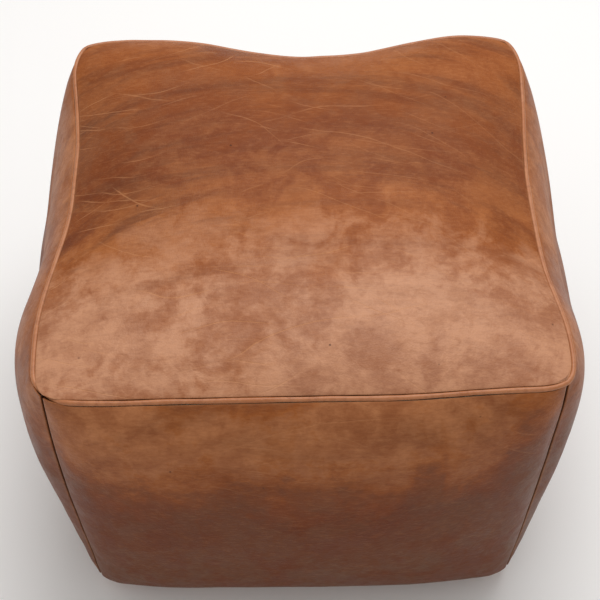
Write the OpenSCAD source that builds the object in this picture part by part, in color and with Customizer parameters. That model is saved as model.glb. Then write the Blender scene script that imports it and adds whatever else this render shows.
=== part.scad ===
// Square leather pouf: six sides of turned-and-sewn leather, a piped top seam,
// cotton linings, a stuffed inner bag and a zip across the base.
// Millimetres. The origin is on the floor, under the middle. +Z is up and -Y is the front.

/* [Cover] */
// Width of the top between its seams, left to right
top_width = 500; // [400:5:700]
// Depth of the top between its seams, front to back
top_depth = 500; // [400:5:700]
// Height of the top seam's corners above the floor
seam_height = 392; // [300:4:550]
// Thickness of the leather
leather_t = 1.4; // [1:0.1:2]
// Thickness of the cotton lining
lining_t = 0.7; // [0.4:0.1:1.2]

/* [Stuffed shape] */
// How far each side of the base stands in from the top's
base_inset = 15; // [0:1:40]
// Rise of the top's middle above its seam
top_crown = 30; // [5:1:60]
// Swell of each side's middle
side_crown = 40; // [10:1:60]
// How far the level seams pull in between the corners
seam_bow = 9; // [0:1:15]
// How far the upright seams pull in between the top and the base
corner_bow = 3; // [0:1:8]
// How far the corners are rounded off
corner_cut = 7; // [0:1:12]
// Rise of the base seam above the floor between its corners
base_roll = 14; // [10:1:24]
// Further rise of the base seam at its corners
corner_roll = 12; // [0:1:20]

/* [Piping] */
// Thickness of the piping
welt_d = 6; // [5:0.5:9]
// Thickness of the leather folded round the piping's cord
welt_leather_t = 1.5; // [1.5:0.1:2]
// How far the seam holds the piping in
welt_sink = 1.4; // [0.5:0.1:1.4]

/* [Stuffing] */
// Thickness of the inner bag's cotton
bag_t = 0.8; // [0.4:0.1:1.5]

/* [Zip] */
// Distance from the end of the teeth to the base's side seam
zip_margin = 45; // [35:1:100]
// Distance from one tooth to the next on the same side
tooth_pitch = 4; // [3:0.5:6]
// Length of a tooth along the zip
tooth_l = 2; // [1:0.1:2.4]
// Width of a tooth, from the middle of the zip outwards
tooth_w = 2.5; // [2:0.1:3.5]
// Thickness of a tooth
tooth_t = 3; // [2.4:0.1:4]
// Thickness of the zip's tape
tape_t = 0.8; // [0.5:0.1:1.1]
// Width of one tape
tape_w = 16; // [14:1:22]
// Gap between the two leather edges at the zip
zip_gap = 12; // [11:1:16]
// Height of the zip's channel above the floor
channel_h = 9; // [8:0.5:9.5]
// Width of the slope from the channel down to the floor
channel_slope = 15; // [10:1:25]
// Thickness of the slider's plates
plate_t = 0.9; // [0.7:0.1:1.2]
// Length of the slider
slider_l = 12; // [10:0.5:15]
// Gap between the slider and the teeth
slider_gap = 0.35; // [0.3:0.05:0.6]
// Gap between a tooth and the zip's middle, which the slider's post passes through
post_gap = 0.8; // [0.75:0.05:1.2]
// Length of the zip pull from its pin to its tip
pull_l = 28; // [18:1:40]
// Width of the zip pull
pull_w = 6; // [5:0.5:8]
// Thickness of the zip pull
pull_t = 1.2; // [0.8:0.1:1.6]
// Thickness of the pin that the pull swings on
pin_d = 1.4; // [1.2:0.1:1.8]
// Gap all round the pin in the pull's eye
pin_gap = 0.05; // [0.03:0.01:0.1]

/* [Stitches] */
// Distance from one stitch to the next
stitch_pitch = 5; // [4:0.5:8]
// Length of one stitch
stitch_l = 3.6; // [2:0.2:3.8]
// Thickness of the thread
thread_d = 0.7; // [0.4:0.1:1]
// Distance of the stitches from the leather's edge at the zip
stitch_inset = 3; // [2:0.5:4]

/* [Hidden] */
half_w = top_width / 2;
half_d = top_depth / 2;
mid_h = seam_height / 2;
base_half_w = half_w - base_inset;
base_half_d = half_d - base_inset;
zip_length = 2 * (base_half_w - zip_margin);
crown_power = 4;     // 2 for an even dome, more for a flatter middle
corner_power = 6;    // how close to the corners their rounding stays
base_flat = 0.71;    // share of the base, from its middle, that lies flat
corner_flat = 0.5;   // the same for the corners' further rise

// Depths below the leather's face, in order from the outside
lining_depth = leather_t;
bag_depth = lining_depth + lining_t;
filling_depth = bag_depth + bag_t;
tape_depth = bag_depth;
stack_gap = 0.7;     // room between the slider and the inner bag

// The zip lies on the linings, at the top of its channel
tape_lo = deep_z(channel_h, tape_depth);
tape_hi = deep_z(channel_h, tape_depth + tape_t);
tape_mid = (tape_lo + tape_hi) / 2;
plate_in = tooth_t / 2 + slider_gap;
plate_out = plate_in + plate_t;
slider_room = tape_mid + plate_out + stack_gap - deep_z(channel_h, bag_depth);
tooth_out = post_gap + tooth_w;
tape_grip = 1.3;     // how far a tooth holds the tape's edge
tape_edge = tooth_out - tape_grip;
tape_out = tape_edge + tape_w;
rail_in = tooth_out + slider_gap;
rail_w = 0.9;
slider_half_w = rail_in + rail_w;
post_w = 2 * post_gap - 0.6;
post_l = 4;
stop_l = 2;
stop_gap = 0.3;
slider_x = zip_length / 2 - stop_l - stop_gap - slider_l / 2;
slider_travel = zip_length - 2 * (stop_l + stop_gap) - slider_l;

// The pull's pin hangs below the slider's outer plate
eye_d = pin_d + 1.8;
eye_w = 2.8;
ear_t = 1;
ear_gap = 0.15;
pin_drop = eye_d / 2 + 0.35;
pin_z = tape_mid - plate_out - pin_drop;
pin_x = slider_x + slider_l / 6;

// Columns of points across the sides: even in angle, so they crowd towards the seams
wide_steps = 12;
tall_steps = 8;
outer_steps = 5;
zip_col = zip_gap / 2 / base_half_d;
flat_col = tape_out / base_half_d;
slope_col = (tape_out + channel_slope) / base_half_d;
outer_cols = [for (i = [0:outer_steps])
    slope_col + (1 - slope_col) * sin(90 * i / outer_steps)];
half_cols = concat([zip_col, flat_col], outer_cols);
x_cols = [for (i = [0:wide_steps]) sin(90 * (2 * i / wide_steps - 1))];
y_cols = concat(negated(half_cols), half_cols);
z_cols = [for (i = [0:tall_steps]) sin(90 * (2 * i / tall_steps - 1))];
tape_cols = [tape_edge / base_half_d, zip_col, flat_col];
welt_sides = 8;
welt_cord_d = welt_d - 2 * welt_leather_t;

leather = [0.66, 0.42, 0.27];
leather_dark = [0.50, 0.29, 0.17];
piping = [0.78, 0.56, 0.41];
cotton = [0.86, 0.80, 0.68];
stuffing = [0.93, 0.91, 0.86];
tape_brown = [0.30, 0.19, 0.12];
brass = [0.76, 0.60, 0.30];
thread = [0.82, 0.68, 0.48];

// ---- The stuffed form ----

function negated(list) = [for (i = [len(list) - 1:-1:0]) -list[i]];

// A level on the stuffed form, moved inwards to a depth
function deep_z(z, depth) = mid_h + (z - mid_h) * (1 - depth / mid_h);

// 1 in the middle of a side and 0 along its seams
function dome(a, b) = (1 - pow(abs(a), crown_power)) * (1 - pow(abs(b), crown_power));

// How far a side stands out of its flat shape: out in the middle, in along the seams
function swell(a, z) = side_crown * dome(a, z)
    - seam_bow * (1 - a * a) * z * z - corner_bow * a * a * (1 - z * z);

// 0 up to a limit, and then a curve that turns up to 1 at the edge
function turned_up(a, limit) = pow(max(0, (a - limit) / (1 - limit)), 2);

function rounding(x, y) = corner_cut * pow(abs(x * y), corner_power);

function side_inset(z) = base_inset * (1 - z) / 2;

// 1 in the zip's channel, 0 past its slope
function channel(y) = let (a = abs(y))
    a <= flat_col ? 1 : a >= slope_col ? 0 : (slope_col - a) / (slope_col - flat_col);

function base_rise(x, y) = base_roll * turned_up(max(abs(x), abs(y)), base_flat)
    + corner_roll * turned_up(abs(x * y), corner_flat);

function base_level(x, y) = max(base_rise(x, y), channel_h * channel(y));

function top_level(x, y) = seam_height + top_crown * dome(x, y);

// A point of the form. x, y and z run from -1 to 1 over the surface of a cube. room lifts the base
// over the zip's channel, and leaves the sides above it where they are.
function place(p, depth, room) = let (
        x = p[0],
        y = p[1],
        z = p[2],
        low = base_level(x, y),
        lift = z == -1 ? room * channel(y) : 0,
        level = low + (top_level(x, y) - low) * (z + 1) / 2 + lift
    ) [
        x * (half_w - side_inset(z) + swell(y, z) - rounding(x, y)) * (1 - depth / half_w),
        y * (half_d - side_inset(z) + swell(x, z) - rounding(x, y)) * (1 - depth / half_d),
        deep_z(level, depth)
    ];

// The point of one side for the two values that run across it
function on_side(side, a, b) =
    side == "top" ? [a, b, 1] : side == "base" ? [-a, b, -1] :
    side == "front" ? [a, -1, b] : side == "back" ? [-a, 1, b] :
    side == "right" ? [1, a, b] : [-1, -a, b];

// One piece of cloth or leather: a side's grid between two depths
module panel(side, a_cols, b_cols, outer, inner, room = 0) {
    na = len(a_cols);
    nb = len(b_cols);
    function at(i, j, layer) = layer * na * nb + i * nb + j;
    points = [for (depth = [outer, inner], a = a_cols, b = b_cols)
        place(on_side(side, a, b), depth, room)];
    faces = concat(
        [for (i = [0:na - 2], j = [0:nb - 2], half = [0, 1]) half == 0
            ? [at(i, j, 0), at(i, j + 1, 0), at(i + 1, j + 1, 0)]
            : [at(i, j, 0), at(i + 1, j + 1, 0), at(i + 1, j, 0)]],
        [for (i = [0:na - 2], j = [0:nb - 2], half = [0, 1]) half == 0
            ? [at(i, j, 1), at(i + 1, j + 1, 1), at(i, j + 1, 1)]
            : [at(i, j, 1), at(i + 1, j, 1), at(i + 1, j + 1, 1)]],
        [for (i = [0:na - 2], half = [0, 1]) half == 0
            ? [at(i, 0, 0), at(i + 1, 0, 0), at(i + 1, 0, 1)]
            : [at(i, 0, 0), at(i + 1, 0, 1), at(i, 0, 1)]],
        [for (i = [0:na - 2], half = [0, 1]) half == 0
            ? [at(i, nb - 1, 0), at(i + 1, nb - 1, 1), at(i + 1, nb - 1, 0)]
            : [at(i, nb - 1, 0), at(i, nb - 1, 1), at(i + 1, nb - 1, 1)]],
        [for (j = [0:nb - 2], half = [0, 1]) half == 0
            ? [at(0, j, 0), at(0, j + 1, 1), at(0, j + 1, 0)]
            : [at(0, j, 0), at(0, j, 1), at(0, j + 1, 1)]],
        [for (j = [0:nb - 2], half = [0, 1]) half == 0
            ? [at(na - 1, j, 0), at(na - 1, j + 1, 0), at(na - 1, j + 1, 1)]
            : [at(na - 1, j, 0), at(na - 1, j + 1, 1), at(na - 1, j, 1)]]
    );
    polyhedron(points, faces);
}

// The whole form at one depth, as a closed solid on the grid of all its sides
module form(depth, room) {
    nx = len(x_cols);
    ny = len(y_cols);
    nz = len(z_cols);
    function at(i, j, k) = (i * ny + j) * nz + k;
    points = [for (x = x_cols, y = y_cols, z = z_cols) place([x, y, z], depth, room)];
    function quad(a, b, c, d) = [[a, b, c], [a, c, d]];
    faces = [
        for (i = [0:nx - 2], j = [0:ny - 2]) each quad(at(i, j, nz - 1), at(i, j + 1, nz - 1),
            at(i + 1, j + 1, nz - 1), at(i + 1, j, nz - 1)),
        for (i = [0:nx - 2], j = [0:ny - 2]) each quad(at(i + 1, j, 0), at(i + 1, j + 1, 0),
            at(i, j + 1, 0), at(i, j, 0)),
        for (i = [0:nx - 2], k = [0:nz - 2]) each quad(at(i, 0, k), at(i, 0, k + 1),
            at(i + 1, 0, k + 1), at(i + 1, 0, k)),
        for (i = [0:nx - 2], k = [0:nz - 2]) each quad(at(i + 1, ny - 1, k), at(i + 1, ny - 1, k + 1),
            at(i, ny - 1, k + 1), at(i, ny - 1, k)),
        for (j = [0:ny - 2], k = [0:nz - 2]) each quad(at(nx - 1, j, k), at(nx - 1, j, k + 1),
            at(nx - 1, j + 1, k + 1), at(nx - 1, j + 1, k)),
        for (j = [0:ny - 2], k = [0:nz - 2]) each quad(at(0, j + 1, k), at(0, j + 1, k + 1),
            at(0, j, k + 1), at(0, j, k))
    ];
    polyhedron(points, faces);
}

// ---- Piping round the top seam ----

// Once round the top seam, from the front left corner to the right and on
function seam_loop() = concat(
    [for (i = [0:len(x_cols) - 2]) [x_cols[i], -1]],
    [for (i = [0:len(y_cols) - 2]) [1, y_cols[i]]],
    [for (i = [len(x_cols) - 1:-1:1]) [x_cols[i], 1]],
    [for (i = [len(y_cols) - 1:-1:1]) [-1, y_cols[i]]]
);

// The middle of the piping at one step of the loop, and the level direction out of the seam there
function welt_spot(loop, i) = let (
        n = len(loop),
        here = place([loop[i][0], loop[i][1], 1], 0, 0),
        before = place([loop[(i + n - 1) % n][0], loop[(i + n - 1) % n][1], 1], 0, 0),
        after = place([loop[(i + 1) % n][0], loop[(i + 1) % n][1], 1], 0, 0),
        along = after - before,
        flat = [along[1], -along[0], 0] / norm([along[0], along[1]])
    ) [here + (flat + [0, 0, 1]) / sqrt(2) * (welt_d / 2 - welt_sink), flat];

function around(spot, radius, angle) =
    spot[0] + radius * (cos(angle) * spot[1] + sin(angle) * [0, 0, 1]);

// A section, given as a list of [radius, angle], carried once round the loop
module swept_round(section) {
    loop = seam_loop();
    n = len(loop);
    sides = len(section);
    points = [for (i = [0:n - 1]) let (spot = welt_spot(loop, i))
        each [for (corner = section) around(spot, corner[0], corner[1])]];
    function at(i, s) = (i % n) * sides + s % sides;
    polyhedron(points, [for (i = [0:n - 1], s = [0:sides - 1], half = [0, 1]) half == 0
        ? [at(i, s), at(i + 1, s), at(i + 1, s + 1)]
        : [at(i, s), at(i + 1, s + 1), at(i, s + 1)]]);
}

// A strip of leather folded round the cord, open towards the seam
module top_welt() {
    turn = 360 / welt_sides;
    open_from = -135 + turn / 2;
    color(piping) swept_round(concat(
        [for (s = [0:welt_sides - 1]) [welt_d / 2, open_from + s * turn]],
        [for (s = [welt_sides - 1:-1:0]) [welt_cord_d / 2, open_from + s * turn]]
    ));
}

module top_welt_cord() {
    turn = 360 / welt_sides;
    color(cotton) swept_round([for (s = [0:welt_sides - 1]) [welt_cord_d / 2, -135 + (s + 0.5) * turn]]);
}

// ---- Leather ----

module top_panel() {
    color(leather) panel("top", x_cols, y_cols, 0, leather_t);
}

module front_panel() {
    color(leather_dark) panel("front", x_cols, z_cols, 0, leather_t);
}

module right_panel() {
    color(leather_dark) panel("right", y_cols, z_cols, 0, leather_t);
}

module back_panel() {
    color(leather_dark) panel("back", negated(x_cols), z_cols, 0, leather_t);
}

module left_panel() {
    color(leather_dark) panel("left", negated(y_cols), z_cols, 0, leather_t);
}

module base_panel_front() {
    color(leather) panel("base", negated(x_cols), negated(half_cols), 0, leather_t);
}

module base_panel_back() {
    color(leather) panel("base", negated(x_cols), half_cols, 0, leather_t);
}

// ---- Cotton linings ----

module lining(side, a_cols, b_cols) {
    color(cotton) panel(side, a_cols, b_cols, lining_depth, bag_depth);
}

module top_lining() {
    lining("top", x_cols, y_cols);
}

module front_lining() {
    lining("front", x_cols, z_cols);
}

module right_lining() {
    lining("right", y_cols, z_cols);
}

module back_lining() {
    lining("back", negated(x_cols), z_cols);
}

module left_lining() {
    lining("left", negated(y_cols), z_cols);
}

module base_lining_front() {
    lining("base", negated(x_cols), negated(half_cols));
}

module base_lining_back() {
    lining("base", negated(x_cols), half_cols);
}

// ---- Inner bag and stuffing ----

module bag_side(side, a_cols, b_cols) {
    color(cotton) panel(side, a_cols, b_cols, bag_depth, filling_depth, slider_room);
}

module bag_top() {
    bag_side("top", x_cols, y_cols);
}

module bag_front() {
    bag_side("front", x_cols, z_cols);
}

module bag_right() {
    bag_side("right", y_cols, z_cols);
}

module bag_back() {
    bag_side("back", negated(x_cols), z_cols);
}

module bag_left() {
    bag_side("left", negated(y_cols), z_cols);
}

module bag_base() {
    bag_side("base", negated(x_cols), y_cols);
}

module filling() {
    color(stuffing) form(filling_depth, slider_room);
}

// ---- Zip ----

module zip_tape(cols) {
    color(tape_brown) panel("base", negated(x_cols), cols, tape_depth, tape_depth + tape_t);
}

module zip_tape_front() {
    zip_tape(negated(tape_cols));
}

module zip_tape_back() {
    zip_tape(tape_cols);
}

// One side's teeth, each clamped over the edge of its tape
module teeth(first) {
    last = floor((zip_length - stop_l - first - tooth_l) / tooth_pitch);
    difference() {
        for (i = [0:last]) {
            translate([first + i * tooth_pitch - zip_length / 2, post_gap, tape_mid - tooth_t / 2])
                cube([tooth_l, tooth_w, tooth_t]);
        }
        translate([-zip_length, tooth_out - tape_grip - slider_gap, tape_lo])
            cube([2 * zip_length, tape_w, tape_hi - tape_lo]);
    }
}

module zip_teeth_front() {
    color(brass) mirror([0, 1, 0]) teeth(stop_l + tooth_pitch / 2);
}

module zip_teeth_back() {
    color(brass) teeth(stop_l);
}

// A stop crimped over one tape's edge, or over both
module stop(x, y_from, y_to) {
    difference() {
        translate([x, y_from, tape_mid - tooth_t / 2]) cube([stop_l, y_to - y_from, tooth_t]);
        for (side = [0, 1]) mirror([0, side, 0])
            translate([x - 1, tape_edge - slider_gap, tape_lo])
                cube([stop_l + 2, tape_w, tape_hi - tape_lo]);
    }
}

module zip_top_stops() {
    color(brass) {
        stop(zip_length / 2 - stop_l, post_gap, tooth_out);
        stop(zip_length / 2 - stop_l, -tooth_out, -post_gap);
    }
}

module zip_bottom_stop() {
    color(brass) stop(-zip_length / 2, -tooth_out, tooth_out);
}

// A row of stitches along one edge of the leather, on its face
module stitches() {
    count = floor(zip_length / stitch_pitch / 2);
    row_y = zip_gap / 2 + stitch_inset;
    for (i = [-count:count]) {
        translate([i * stitch_pitch - stitch_l / 2, row_y, channel_h - thread_d])
            cube([stitch_l, thread_d, thread_d]);
    }
}

module zip_stitches_front() {
    color(thread) mirror([0, 1, 0]) stitches();
}

module zip_stitches_back() {
    color(thread) stitches();
}

// A slider plate seen from below: two round shoulders and a narrower tail
module plate_outline() {
    shoulder_r = slider_half_w / 2;
    for (side = [-1, 1]) {
        translate([slider_l / 2 - shoulder_r, side * shoulder_r]) circle(r = shoulder_r, $fn = 48);
    }
    translate([-slider_l / 2, -slider_half_w]) square([slider_l - shoulder_r, 2 * slider_half_w]);
}

module zip_slider() {
    rail_h = plate_in - tape_t / 2 - slider_gap;
    root = plate_t / 2;  // how far the rails, the post and the ears run into the plates
    color(brass) translate([slider_x, 0, tape_mid]) {
        for (side = [0, 1]) mirror([0, 0, side]) {
            translate([0, 0, plate_in]) linear_extrude(plate_t) plate_outline();
            for (edge = [0, 1]) mirror([0, edge, 0])
                translate([-slider_l / 2, rail_in, plate_in - rail_h])
                    cube([slider_l - rail_in, rail_w, rail_h + root]);
        }
        translate([slider_l / 2 - post_l - plate_t, -post_w / 2, -plate_in - root])
            cube([post_l, post_w, 2 * (plate_in + root)]);
    }
    // two ears below the outer plate, with the pin across them
    color(brass) for (edge = [0, 1]) mirror([0, edge, 0])
        translate([pin_x, eye_w / 2 + ear_gap, pin_z]) {
            rotate([-90, 0, 0]) cylinder(d = eye_d, h = ear_t, $fn = 48);
            translate([-eye_d / 2, 0, 0]) cube([eye_d, ear_t, pin_drop + root]);
        }
    color(brass) translate([pin_x, -eye_w / 2 - ear_gap - ear_t, pin_z])
        rotate([-90, 0, 0]) cylinder(d = pin_d, h = eye_w + 2 * (ear_gap + ear_t), $fn = 48);
}

// The pull lies back along the closed teeth, and swings down and over on its pin
module zip_pull() {
    hole_d = 3;
    neck_l = 5;
    color(brass) translate([pin_x, 0, pin_z]) difference() {
        union() {
            translate([0, -eye_w / 2, 0]) rotate([-90, 0, 0]) cylinder(d = eye_d, h = eye_w, $fn = 48);
            translate([-neck_l - pull_t, -eye_w / 2, -pull_t / 2]) cube([neck_l + pull_t, eye_w, pull_t]);
            translate([0, 0, -pull_t / 2]) linear_extrude(pull_t) {
                translate([-pull_l + pull_w / 2, -pull_w / 2])
                    square([pull_l - pull_w / 2 - neck_l, pull_w]);
                translate([-pull_l + pull_w / 2, 0]) circle(d = pull_w, $fn = 48);
            }
        }
        translate([0, -eye_w, 0]) rotate([-90, 0, 0])
            cylinder(d = pin_d + 2 * pin_gap, h = 2 * eye_w, $fn = 48);
        translate([-pull_l + pull_w / 2, 0, -pull_t]) cylinder(d = hole_d, h = 2 * pull_t, $fn = 48);
    }
}

top_panel();
front_panel();
right_panel();
back_panel();
left_panel();
base_panel_front();
base_panel_back();
top_lining();
front_lining();
right_lining();
back_lining();
left_lining();
base_lining_front();
base_lining_back();
top_welt();
top_welt_cord();
bag_top();
bag_front();
bag_right();
bag_back();
bag_left();
bag_base();
filling();
zip_tape_front();
zip_tape_back();
zip_teeth_front();
zip_teeth_back();
zip_top_stops();
zip_bottom_stop();
zip_stitches_front();
zip_stitches_back();
zip_slider();
zip_pull();
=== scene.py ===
"""A stuffed square leather pouf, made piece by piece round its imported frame."""

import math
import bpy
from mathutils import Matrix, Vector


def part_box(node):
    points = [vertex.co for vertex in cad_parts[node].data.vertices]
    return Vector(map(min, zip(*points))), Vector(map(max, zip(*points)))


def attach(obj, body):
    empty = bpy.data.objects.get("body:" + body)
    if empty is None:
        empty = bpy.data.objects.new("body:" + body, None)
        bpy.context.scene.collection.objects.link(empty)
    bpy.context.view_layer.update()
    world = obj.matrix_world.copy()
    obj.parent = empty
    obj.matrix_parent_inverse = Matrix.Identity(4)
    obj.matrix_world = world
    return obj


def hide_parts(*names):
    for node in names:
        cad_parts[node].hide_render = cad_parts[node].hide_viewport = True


bl_info = {
    "name": "Moroccan leather pouf",
    "version": (1, 0, 0),
    "blender": (4, 5, 0),
    "location": "View3D > Sidebar > Pouf",
    "description": "Makes a stuffed leather pouf with piping, linings, a filled bag and a zip",
    "category": "Object",
}

import bmesh
import bpy
import numpy as np
from bpy.props import FloatProperty, FloatVectorProperty, IntProperty, PointerProperty
from mathutils import Matrix, Vector, noise

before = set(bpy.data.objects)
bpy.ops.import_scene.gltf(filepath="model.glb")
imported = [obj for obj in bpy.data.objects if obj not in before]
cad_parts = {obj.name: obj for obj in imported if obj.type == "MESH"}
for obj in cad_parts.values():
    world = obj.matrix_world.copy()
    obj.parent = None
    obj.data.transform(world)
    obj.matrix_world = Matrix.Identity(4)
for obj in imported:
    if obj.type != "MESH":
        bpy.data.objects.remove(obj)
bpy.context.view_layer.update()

MM = 0.001
FORM = "pouf_form"
SIDES = ("right", "left", "back", "front", "top", "base")
PANELS = ("top", "front", "right", "back", "left", "base_front", "base_back")


# ---- Sizes and colours -------------------------------------------------------------------


def length(name, text, default):
    return FloatProperty(name=name, description=text, default=default, unit="LENGTH", precision=4)


def colour(name, text, red, green, blue):
    """A colour given in the 0 to 255 values that a paint chart uses."""
    linear = [((c / 255 + 0.055) / 1.055) ** 2.4 for c in (red, green, blue)]
    return FloatVectorProperty(name=name, description=text, default=linear, subtype="COLOR",
                               size=3, min=0.0, max=1.0)


class PoufCoverSizes(bpy.types.PropertyGroup):
    half_width: length("Half width", "Middle of the top to its side corners", 250 * MM)
    half_depth: length("Half depth", "Middle of the top to its front corners", 250 * MM)
    seam_height: length("Seam height", "Floor to the top seam", 392 * MM)
    base_inset: length("Base inset", "How far the base stands in from the top", 8 * MM)
    top_crown: length("Top crown", "Rise of the top's middle above its seam", 32 * MM)
    side_crown: length("Side crown", "Swell of each side's middle", 40 * MM)
    seam_bow: length("Seam bow", "How far the level seams pull in between the corners", 9 * MM)
    upright_bow: length("Upright bow", "How far the upright seams swell out", 1 * MM)
    front_cut: length("Front corners", "How far the front corners are rounded off", 9 * MM)
    back_cut: length("Back corners", "How far the back corners are rounded off", 16 * MM)
    base_roll: length("Base roll", "Rise of the base seam above the floor", 12 * MM)
    corner_roll: length("Corner roll", "Further rise of the base seam at its corners", 12 * MM)
    leather: length("Leather", "Thickness of the leather", 1.4 * MM)
    lining: length("Lining", "Thickness of the cotton lining", 0.7 * MM)
    bag: length("Bag", "Thickness of the inner bag's cotton", 0.8 * MM)
    groove: length("Groove", "How deep the seams draw the leather in", 5 * MM)
    piping_room: length("Piping room", "From the top seam to the leather's folded edge", 3.5 * MM)
    settle: length("Settling", "The most that stuffing moves the cloth", 3.5 * MM)
    channel_flat: length("Channel", "Half width of the zip's channel", 19 * MM)
    channel_slope: length("Channel slope", "Width of the slope down to the floor", 15 * MM)
    channel_height: length("Channel height", "Floor to the leather beside the zip", 9 * MM)
    zip_half_gap: length("Zip gap", "Middle of the zip to the leather's edge", 6 * MM)
    cuts: IntProperty(name="Cuts", description="Cloth squares across a side", default=44)


class PoufPipingSizes(bpy.types.PropertyGroup):
    thickness: length("Piping", "Thickness of the piping", 5.2 * MM)
    cord: length("Cord", "Thickness of the cord inside", 3 * MM)
    stand: length("Stand", "How far the piping's middle lies below the swollen edge", 1.5 * MM)


class PoufZipSizes(bpy.types.PropertyGroup):
    pitch: length("Stitch pitch", "From one stitch to the next", 5 * MM)
    stitch: length("Stitch", "Length of a stitch", 3.6 * MM)


class PoufColours(bpy.types.PropertyGroup):
    # Painted sheen: tan is the lighter, pinker colour painted at the front of the top, where the overhead
    # light glances off the leather.
    tan: colour("Tan", "The pinkish leather at the front of the top", 190, 137, 106)
    golden: colour("Golden tan", "The leather's middle colour", 158, 88, 38)
    russet: colour("Russet", "The leather where the dye is thick", 122, 60, 24)
    chestnut: colour("Chestnut", "Streaks of thick dye", 88, 38, 15)
    umber: colour("Umber", "The darkest dye", 60, 30, 16)
    # Painted reflection: dusk's dull greyish cast low on the sides stands for the floor's light reflected
    # there.
    dusk: colour("Dusk", "The dull leather low on the sides", 82, 46, 28)
    wear: colour("Wear", "Rubbed and creased leather", 204, 144, 98)
    piping: colour("Piping", "The rubbed leather of the piping", 178, 114, 72)
    # Painted shade: this dark colour is laid in the seam grooves and on the linings near them, standing for
    # the shade in those narrow gaps.
    groove_shade: colour("Grime", "Dye gathered in the seams", 54, 22, 9)
    base: colour("Base leather", "The redder leather of the base", 158, 76, 34)
    cotton: colour("Cotton", "Linings", 214, 200, 172)
    bag: colour("Bag cotton", "The inner bag", 228, 222, 206)
    stuffing: colour("Stuffing", "Loose cotton and wool", 238, 233, 220)
    tape: colour("Tape", "The zip's woven tape", 74, 46, 30)
    brass: colour("Brass", "The zip's metal", 206, 160, 84)
    thread: colour("Thread", "Waxed sewing thread", 214, 178, 122)
    floor: colour("Floor", "The pale floor", 248, 247, 246)


class PoufStage(bpy.types.PropertyGroup):
    camera: FloatVectorProperty(name="Camera", description="Where the camera stands",
                                default=(-0.020, -0.925, 1.385), subtype="XYZ", unit="LENGTH")
    aim: FloatVectorProperty(name="Aim", description="The point that the camera looks at",
                             default=(0.0, 0.0, 0.235), subtype="XYZ", unit="LENGTH")
    lens: FloatProperty(name="Lens", description="Focal length in millimetres", default=78.0)


def cover_sizes():
    return bpy.context.scene.pouf_cover


def piping_sizes():
    return bpy.context.scene.pouf_piping


def zip_sizes():
    return bpy.context.scene.pouf_zip


def colours():
    return bpy.context.scene.pouf_colours


# ---- Shape helpers -----------------------------------------------------------------------


def coordinates(mesh):
    flat = np.zeros(len(mesh.vertices) * 3)
    mesh.vertices.foreach_get("co", flat)
    return flat.reshape(-1, 3)


def vectors(mesh, name):
    flat = np.zeros(len(mesh.vertices) * 3)
    mesh.attributes[name].data.foreach_get("vector", flat)
    return flat.reshape(-1, 3)


def smooth_step(x):
    x = np.clip(x, 0, 1)
    return x * x * (3 - 2 * x)


def hump(x, middle, width):
    """1 at the middle and 0 a width away on both sides."""
    return smooth_step(1 - np.abs(x - middle) / width)


def lumps(points, scale, seed):
    """Smooth noise from -1 to 1, with lumps about scale metres across."""
    shift = Vector((seed * 7.31, seed * 3.17, seed * 5.53))
    return np.array([noise.noise(Vector(p) / scale + shift) for p in points])


def add_object(name, mesh):
    piece = bpy.data.objects.new(name, mesh)
    bpy.context.scene.collection.objects.link(piece)
    return piece


def finish_piece(piece, body, slot, finish, *nodes):
    """Gives a finished piece its material, the body that it rides on and the nodes it stands for."""
    piece.data.materials.clear()
    for material in finish if isinstance(finish, (list, tuple)) else (finish,):
        piece.data.materials.append(material)
    piece.data.shade_smooth()
    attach(piece, body)
    if nodes:
        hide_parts(*nodes)
    return piece


def smooth(bm, verts, rounds):
    """Evens out the points given, in a number of rounds."""
    for _ in range(rounds):
        bmesh.ops.smooth_vert(bm, verts=verts, factor=0.5, use_axis_x=True, use_axis_y=True,
                              use_axis_z=True)


def piece_from(bm, name):
    mesh = bpy.data.meshes.new(name)
    bm.to_mesh(mesh)
    bm.free()
    return add_object(name, mesh)


def baked(piece):
    """The piece's mesh with its modifiers worked in."""
    graph = bpy.context.evaluated_depsgraph_get()
    return bpy.data.meshes.new_from_object(piece.evaluated_get(graph), depsgraph=graph,
                                           preserve_all_data_layers=True)


def thicken(piece, thickness, rounds=0):
    """Gives a skin its thickness inwards, and rounds its faces off."""
    wall = piece.modifiers.new("Thickness", "SOLIDIFY")
    wall.thickness = thickness
    wall.offset = -1
    wall.use_even_offset = False
    if rounds:
        soft = piece.modifiers.new("Softness", "SUBSURF")
        soft.levels = soft.render_levels = rounds


# ---- The stuffed form --------------------------------------------------------------------

STUFFING_STEPS = 12
FLOOR_SHARE = 0.7
ROLL_START = 0.72
CORNER_ROLL_START = 0.5
SLACK_LOW = 0.36
FULLER_LEFT = 1.08

def cube_cloth(cuts):
    """A cube of six square cloths. 'spot' keeps each point's place on the cube."""
    bm = bmesh.new()
    bmesh.ops.create_cube(bm, size=2)
    bmesh.ops.subdivide_edges(bm, edges=bm.edges[:], cuts=cuts - 1, use_grid_fill=True)
    spot = bm.verts.layers.float_vector.new("spot")
    side = bm.faces.layers.int.new("side")
    for vert in bm.verts:
        vert[spot] = vert.co.copy()
    for face in bm.faces:
        normal = face.normal
        axis = max(range(3), key=lambda i: abs(normal[i]))
        face[side] = 2 * axis + (0 if normal[axis] > 0 else 1)
    mesh = bpy.data.meshes.new("pouf_cloth")
    bm.to_mesh(mesh)
    bm.free()
    return mesh


def dome(a, b):
    """1 in the middle of a side and 0 along its seams, steep where it leaves them."""
    steep = (1 - np.abs(a) ** 5) * (1 - np.abs(b) ** 6)
    return 0.6 * steep + 0.4 * (1 - a * a) * (1 - b * b)


def turned_up(a, limit):
    return np.maximum(0, (a - limit) / (1 - limit)) ** 2


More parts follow.
